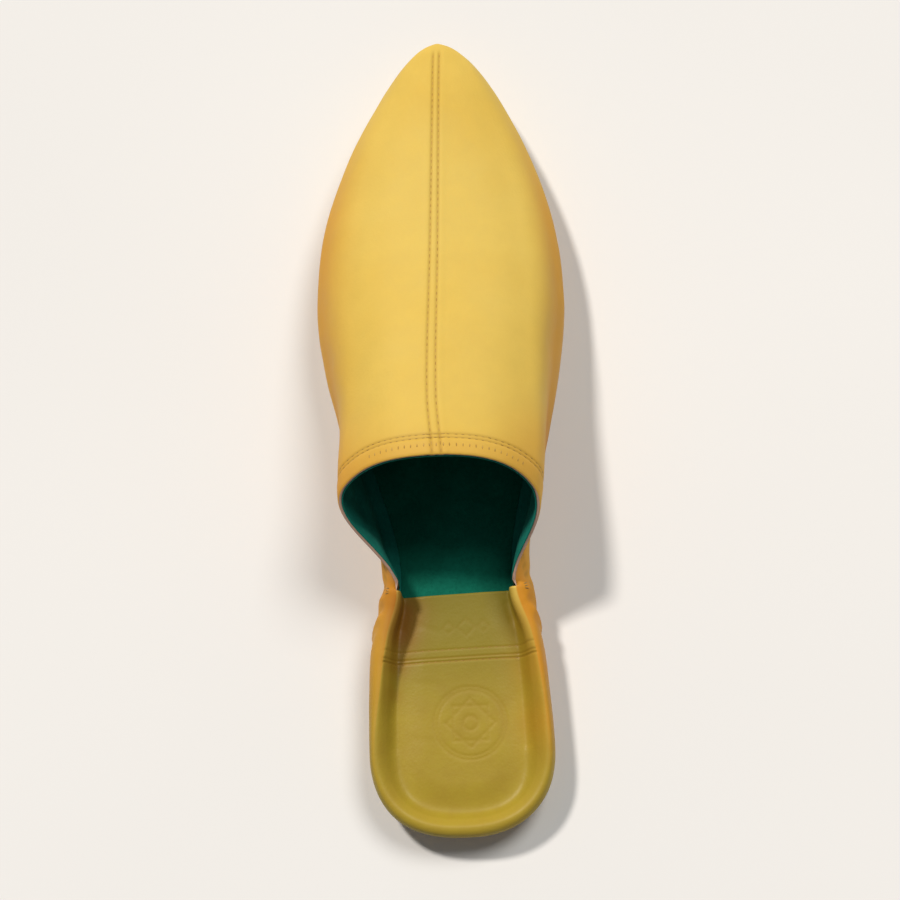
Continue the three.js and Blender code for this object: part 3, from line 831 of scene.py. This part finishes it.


# Attributes for the skin's finish: groove is the lines of sewing and tooling, burnish where the leather is
# glossy;
# then a deeper orange of painted shade and bounced light down the sides, one share that darkens the steep
# walls and the heel and paints shade on the flap towards the vamp, and a painted shadow that the outer wall
# casts on the flap
shareLayer = bm.verts.layers.float["share"]
flapLayer = bm.verts.layers.float["flap"]
grooveLayer = bm.verts.layers.float.new("groove")
burnishLayer = bm.verts.layers.float.new("burnish")
sideShadeLayer = bm.verts.layers.float.new("sideShade")
rubAndShadeLayer = bm.verts.layers.float.new("rubAndShade")
flapShadowLayer = bm.verts.layers.float.new("flapShadow")
moved = []
for v in bm.verts:
    p = v.co
    near, index, distance = edgeTree.find(p)
    isFlap = v[flapLayer]
    height, groove = reliefAt(p, v[shareLayer], isFlap, distance, footTree.find(p)[2])
    moved.append((v, p + v.normal * height))
    v[grooveLayer] = groove
    v[burnishLayer] = max(ease(isFlap * 1.6), wear["gloss"] * heelward(p.y, *wear["glossGrows"]))
    # painted shade on the flap, darker towards the vamp
    darkened = wear["darkened"] * ease(isFlap * 1.4 - 0.3) * toeward(p.y, *wear["vampShadeGrows"])
    # darker where the wall is steep, towards the heel, and less on the inner side
    steepDark = wear["steepDark"] * ease((1.0 - v.normal.z) / 0.5) * heelward(p.y, *wear["steepDarkGrows"])
    steepDark *= mix(wear["steepDarkInside"], 1, ease((6 - p.x) / 12)) * ease((0.3 - isFlap) / 0.2)
    v[rubAndShadeLayer] = max(darkened, steepDark, wear["heelRub"] * heelward(p.y, *wear["heelRubGrows"]))
    # painted shade and bounced light: a deeper orange down the sides, along the throat edge and in listed
    # places
    reach = wear["shadeReach"][lateral if p.x < 0 else medial]
    sideShade = 0.0
    if isFlap == 0:
        sideShade = wear["shadeSides"] * ease((reach - v[shareLayer]) / reach)
        sideShade *= toeward(p.y, *wear["shadeHeel"]) * heelward(p.y, *wear["shadeToe"])
        sideShade += wear["shadeEdge"] * ease((wear["shadeEdgeReach"] - distance) / wear["shadeEdgeReach"])
    for x, y, width, share in detail["shadedPlaces"]:
        sideShade += share * bump(math.hypot(p.x - x, p.y - y), width)
    v[sideShadeLayer] = min(1, sideShade)
    # painted shadow that the outer wall casts on the flap
    v[flapShadowLayer] = sum(
        share * bump(math.hypot(p.x - x, p.y - y), width) for x, y, width, share in detail["paintedShadow"])
for v, place in moved:
    v.co = place
back = [v for v in bm.verts if v[flapLayer] > 0.05 and v.co.y < last["heelDepth"]]
near = [v for v in back if footTree.find(v.co)[2] < detail["backReach"]]
for turn in range(detail["backSoftness"]):  # the back was trodden flat, so its fold is softer
    bmesh.ops.smooth_vert(bm, verts=near, factor=0.5, use_axis_x=True, use_axis_y=True, use_axis_z=True)
bm.normal_update()
leatherTree = BVHTree.FromBMesh(bm)
upperLeather = finishedPiece("upper_leather", bm, [leather, edge], ["upper"])
thickness = upperLeather.modifiers.new("wall", "SOLIDIFY")
thickness.thickness = pattern["leather"] * mm
thickness.offset = -1
thickness.material_offset_rim = 1
print("upper leather made")


# Lining

liningWall = [("margin", t) for t in spread(0, 5, 1)[:-1]] + [("wall", t) for t in spread(0, 6, 1)]
liningFold = (
    [("face", t) for t in spread(0, 7, 1)[1:]] + [("drop", t) for t in spread(0, 2, 1)[1:]]
    + [("foot", t) for t in spread(0, 5, 1)[1:]] + [("flat", t) for t in spread(0, 8, 1)[1:]]
)
liningPlaces = spread(83, 24, 30)
liningPlaces += [last["heelDepth"] * (1 - math.sin(i / 22 * math.pi / 2)) for i in range(1, 23)]
bm = upperSheet(liningWall, spread(0, 26, 1)[1:], 4.0, 64, 6, liningFold, liningPlaces)
for v, normal in evenNormals(bm, 2).items():
    v.co = v.co - normal * (pattern["leather"] + pattern["glue"])
bm.normal_update()
liningPiece = finishedPiece("lining", bm, [liningSkin])
thickness = liningPiece.modifiers.new("wall", "SOLIDIFY")
thickness.thickness = pattern["lining"] * mm
thickness.offset = -1
print("lining made")


# Insole and outsole

layers = {
    "outsoleInset": 2.4,  # inside the widest line
    "outsoleRound": 0.8,
    "outsoleTop": 0.4,
    "insoleInset": 7.7,
    "insoleRound": 0.14,
    "insoleLip": 1.4,  # its top skin reaches out over the turned margin
    "lipHeights": (1.74, 1.8),  # the lip's underside at its foot and its edge, over the insole's own
    "channelIn": 3.2,  # sewing channel in the tread, from the sole's edge
    "channelWidth": 0.9,
    "channelDepth": 0.35,
    "channelLip": 0.25,  # its sides slope out this much
    "toeRows": 110,
    "heelRows": 26,
    "backRows": 34,
    "acrossColumns": 12,
}


def layerRows():
    rows = []
    for i in range(layers["toeRows"] + 1):
        t = i / layers["toeRows"]
        rows.append(mix(last["length"], pattern["corner"], mix(t ** 1.6, ease(t), 0.6)))
    rows += spread(pattern["corner"], layers["heelRows"], last["heelDepth"])[1:]
    return rows + [
        last["heelDepth"] * (1 - math.sin(i / layers["backRows"] * math.pi / 2))
        for i in range(1, layers["backRows"] + 1)
    ]


def rimPoint(side, along, inset, up):
    at = outline(side, along) + inwardAt(side, along) * inset
    return Vector((at.x, at.y, lift(at.y) + up))


def layerSolid(inset, profile):  # profile: (further in, height), from the lower face to the upper
    bm = bmesh.new()
    rows = layerRows()
    for side in (lateral, medial):
        gridOf(bm, len(profile) - 1, len(rows) - 1, lambda column, row: rimPoint(
            side, rows[row], inset + profile[column][0], profile[column][1]))
    columns = layers["acrossColumns"]
    for further, up in (profile[0], profile[-1]):

        def acrossAt(column, row):
            near, far = [rimPoint(side, rows[row], inset + further, up) for side in (lateral, medial)]
            return near.lerp(far, column / columns)

        gridOf(bm, columns, len(rows) - 1, acrossAt)
    bmesh.ops.remove_doubles(bm, verts=bm.verts, dist=0.01)
    bmesh.ops.recalc_face_normals(bm, faces=bm.faces)
    return bm


def quarterRound(inset, up, radius, steps, fromBelow):
    places = []
    for i in range(steps + 1):
        angle = i / steps * math.pi / 2
        if fromBelow:
            places.append((inset + radius * (1 - math.sin(angle)), up + radius * (1 - math.cos(angle))))
        else:
            places.append((inset + radius * (1 - math.cos(angle)), up - radius * (1 - math.sin(angle))))
    return places


channel = layers["channelIn"]
half = layers["channelWidth"] / 2
soleProfile = [
    (channel + half + layers["channelLip"], 0), (channel + half * 0.7, layers["channelDepth"]),
    (channel - half * 0.7, layers["channelDepth"]), (channel - half - layers["channelLip"], 0),
]
soleProfile += quarterRound(0, 0, layers["outsoleRound"], 5, True)
soleProfile += quarterRound(0, last["sole"], layers["outsoleTop"], 3, False)
outsoleSolid = layerSolid(layers["outsoleInset"], soleProfile)
finishedPiece("outsole_leather", outsoleSolid, [sole], ["outsole"])

floorUp = last["sole"] + last["gap"]
lipFoot, lipUnder = layers["lipHeights"]
insoleProfile = [
    (0.3, floorUp), (0, floorUp + 0.3), (0, floorUp + lipFoot), (-layers["insoleLip"], floorUp + lipUnder),
]
insoleProfile += quarterRound(
    -layers["insoleLip"], floorUp + last["insole"], layers["insoleRound"], 3, False)
insoleSolid = layerSolid(layers["insoleInset"], insoleProfile)
finishedPiece("insole_leather", insoleSolid, [insoleSkin], ["insole"])
print("insole and outsole made")


# Sewing

sewing = {
    "seamPitch": 2.6,
    "seamStitch": (1.9, 0.5, 0.12),  # length, thickness, and how deep it has pulled in
    "seamStart": 1.6,  # in front of the throat edge
    "throatPitch": 2.2,
    "throatStitch": (1.5, 0.4, 0.1),
    "throatEnds": 6.0,  # left free at each corner
    "tickStitch": (1.6, 0.55, 0.12),
    "tacks": 3,
    "tackStitch": (2.2, 0.6, 0.1),
    "tackGap": 0.9,
    "flapPitch": 2.3,
    "flapStitch": (1.6, 0.4, 0.14),
    "flapFrom": -21.0,
    "flapTo": 21.5,
    "flapTop": 14.0,  # higher up is the fold's crest, with no sewing
    "solePitch": 4.6,
    "soleStitch": (3.3, 0.8, 0),
}


def onLeather(x, y):  # the leather's outside, from above
    place, normal, index, distance = leatherTree.ray_cast(Vector((x, y, 100)), Vector((0, 0, -1)))
    return place, normal


def alongThroat(run):  # a place on the throat edge, the edge's direction, and the way over the leather
    i = next(k for k, value in enumerate(edgeRun) if value >= run)
    before, after = throatEdge[max(i - 9, 0)], throatEdge[min(i + 9, len(throatEdge) - 1)]
    direction = (after - before).normalized()
    near, normal, index, distance = leatherTree.find_nearest(throatEdge[i])
    away = normal.cross(direction).normalized()
    return throatEdge[i], direction, -away if away.y < 0 else away


def addStitch(bm, place, normal, direction, size):
    length, width, sunk = size
    side = normal.cross(direction).normalized()
    ahead = side.cross(normal).normalized()
    turned = Matrix((ahead, side, normal)).transposed().to_4x4()
    shape = Matrix.Diagonal((length / 2, width / 2, width / 2, 1))
    at = Matrix.Translation(place - normal * sunk)
    bmesh.ops.create_uvsphere(bm, u_segments=6, v_segments=5, radius=1, matrix=at @ turned @ shape)


seamStitches = bmesh.new()
for side in (lateral, medial):
    y = pattern["throat"] + sewing["seamStart"]
    while y < detail["seamToe"] - 2:
        toThroat = ease((last["length"] - y) / (last["length"] - pattern["throat"]))
        out = side * mix(detail["seamHalf"][1], detail["seamHalf"][0], toThroat)
        place, normal = onLeather(read("seam", y) + out, y)
        ahead, unused = onLeather(read("seam", y + 0.8) + out, y + 0.8)
        addStitch(seamStitches, place, normal, ahead - place, sewing["seamStitch"])
        y += sewing["seamPitch"] * abs((ahead - place).normalized().y)

stitches = bmesh.new()
for line in detail["throatLines"]:
    run = edgeRun[0] + sewing["throatEnds"]
    while run < edgeRun[-1] - sewing["throatEnds"]:
        p, direction, away = alongThroat(run)
        place = p + away * line
        for turn in range(3):
            place, normal, index, distance = leatherTree.find_nearest(place)
            reach = edgeTree.find(place)[2]
            if turn < 2:
                place = place + away * (line - reach)
        addStitch(stitches, place, normal, direction, sewing["throatStitch"])
        run += sewing["throatPitch"]

step = math.ceil(detail["tickFrom"] / detail["tickPitch"])
while step * detail["tickPitch"] < detail["tickTo"]:
    run = step * detail["tickPitch"]
    step += 1
    p, direction, away = alongThroat(run)
    place, normal, index, distance = leatherTree.find_nearest(p + away * detail["tickIn"])
    addStitch(seamStitches, place, normal, away, sewing["tickStitch"])
finishedPiece("seam_stitches", seamStitches, [seamThread])

for line in detail["flapLines"][:1] + detail["flapLines"][2:]:
    x = sewing["flapFrom"]
    while x < sewing["flapTo"]:
        y = line + detail["flapSlant"] * x
        place, normal = onLeather(x, y)
        ahead, unused = onLeather(x + 0.8, y)
        if place.z < sewing["flapTop"]:
            addStitch(stitches, place, normal, ahead - place, sewing["flapStitch"])
        x += sewing["flapPitch"]
for side in (lateral, medial):  # a tack holds each corner of the throat
    for i in range(sewing["tacks"]):
        near = wallPoint(side, pattern["corner"] + 1.2 - i * sewing["tackGap"], "wall", 0.62)
        place, normal, index, distance = leatherTree.find_nearest(near)
        addStitch(stitches, place, normal, Vector((0, 0, 1)), sewing["tackStitch"])
finishedPiece("edge_stitches", stitches, [edgeThread])

soleStitches = bmesh.new()
for side in (lateral, medial):
    rows = layerRows()
    inset = layers["outsoleInset"] + layers["channelIn"]
    points = [rimPoint(side, along, inset, layers["channelDepth"] - 0.1) for along in rows]
    run = 0.0
    due = sewing["solePitch"] / 2
    for a, b in zip(points, points[1:]):
        step = (b - a).length
        while step > 0 and run + step >= due:
            place = a.lerp(b, (due - run) / step)
            addStitch(soleStitches, place, Vector((0, 0, -1)), b - a, sewing["soleStitch"])
            due += sewing["solePitch"]
        run += step
finishedPiece("sole_stitches", soleStitches, [soleThread])
print("sewing made")


# Floor, camera and light

studio = {
    "floor": "#EBECEE",
    "floorCloud": "#E7E8EA",
    "floorHalf": 12.0,  # m
    "from": (29.42, -80.23, 792.74),  # mm, in the last's own frame
    "to": (0.18, 131.8, 20.0),
    "up": (0.0405, 0.9651, 0.2588),
    "lens": 92.9,
    "keyFrom": (-0.54, 0.63, 1.0),
    "keyPower": 2.35,
    "keySoftness": 7.0,  # degrees
    "keyColour": "#FFF6EA",
    "topFrom": (0.46, 0.58, 1.0),
    "topPower": 1.55,
    "topSoftness": 26.0,
    "topColour": "#FFFBF3",
    "lampsAway": 2.2,  # m
    "air": "#F4F5F7",
    "airPower": 0.14,
    "backdropPower": 0.85,  # how bright the backdrop itself looks
}

floorMesh = bmesh.new()
bmesh.ops.create_grid(floorMesh, x_segments=8, y_segments=8, size=studio["floorHalf"])
mesh = bpy.data.meshes.new("floor")
floorMesh.to_mesh(mesh)
floorMesh.free()
floor = bpy.data.objects.new("floor", mesh)
scene.collection.objects.link(floor)
paint, tree = newMaterial("matt_painted_board")
at = addNode(tree, "ShaderNodeTexCoord", "Object")
cloud = addNode(tree, "ShaderNodeTexNoise", "Fac", {"Vector": at, "Scale": 3.0, "Detail": 2.0})
cloudy = addNode(tree, "ShaderNodeMapRange", 0, {"Value": cloud, "From Min": 0.3, "From Max": 0.7})
pale = addNode(tree, "ShaderNodeMix", 2, {
    "Factor": cloudy, 6: linear(studio["floor"]), 7: linear(studio["floorCloud"])}, ofColours)
shader = addNode(tree, "ShaderNodeBsdfPrincipled", 0, {"Base Color": pale, "Roughness": 0.85})
addNode(tree, "ShaderNodeOutputMaterial", None, {"Surface": shader})
mesh.materials.append(paint)


def standAt(name, data, place, back, up):
    thing = bpy.data.objects.new(name, data)
    scene.collection.objects.link(thing)
    right = up.cross(back).normalized()
    level = back.cross(right).normalized()
    thing.matrix_world = Matrix.Translation(place) @ Matrix((right, level, back)).transposed().to_4x4()
    return thing


eye = (Vector(studio["from"]) + shoeOrigin) * mm
aim = (Vector(studio["to"]) + shoeOrigin) * mm
cameraData = bpy.data.cameras.new("camera")
cameraData.lens = studio["lens"]
cameraData.sensor_width = 36  # mm
scene.camera = standAt("camera", cameraData, eye, (eye - aim).normalized(), Vector(studio["up"]))

for name in ("key", "top"):
    lamp = bpy.data.lights.new(name, "SUN")  # stands for a softbox far off, so the floor is lit evenly
    lamp.angle = math.radians(studio[name + "Softness"])
    lamp.energy = studio[name + "Power"]
    lamp.color = linear(studio[name + "Colour"])[:3]
    toLamp = Vector(studio[name + "From"]).normalized()
    standAt(name, lamp, toLamp * studio["lampsAway"], toLamp, Vector((0, 1, 0)))

world = bpy.data.worlds.new("air")
world.use_nodes = True
tree = world.node_tree
tree.nodes.clear()
seen = addNode(tree, "ShaderNodeLightPath", "Is Camera Ray")
power = addNode(tree, "ShaderNodeMapRange", 0, {
    "Value": seen, "To Min": studio["airPower"], "To Max": studio["backdropPower"]})
air = addNode(tree, "ShaderNodeBackground", 0, {"Color": linear(studio["air"]), "Strength": power})
addNode(tree, "ShaderNodeOutputWorld", None, {"Surface": air})
scene.world = world
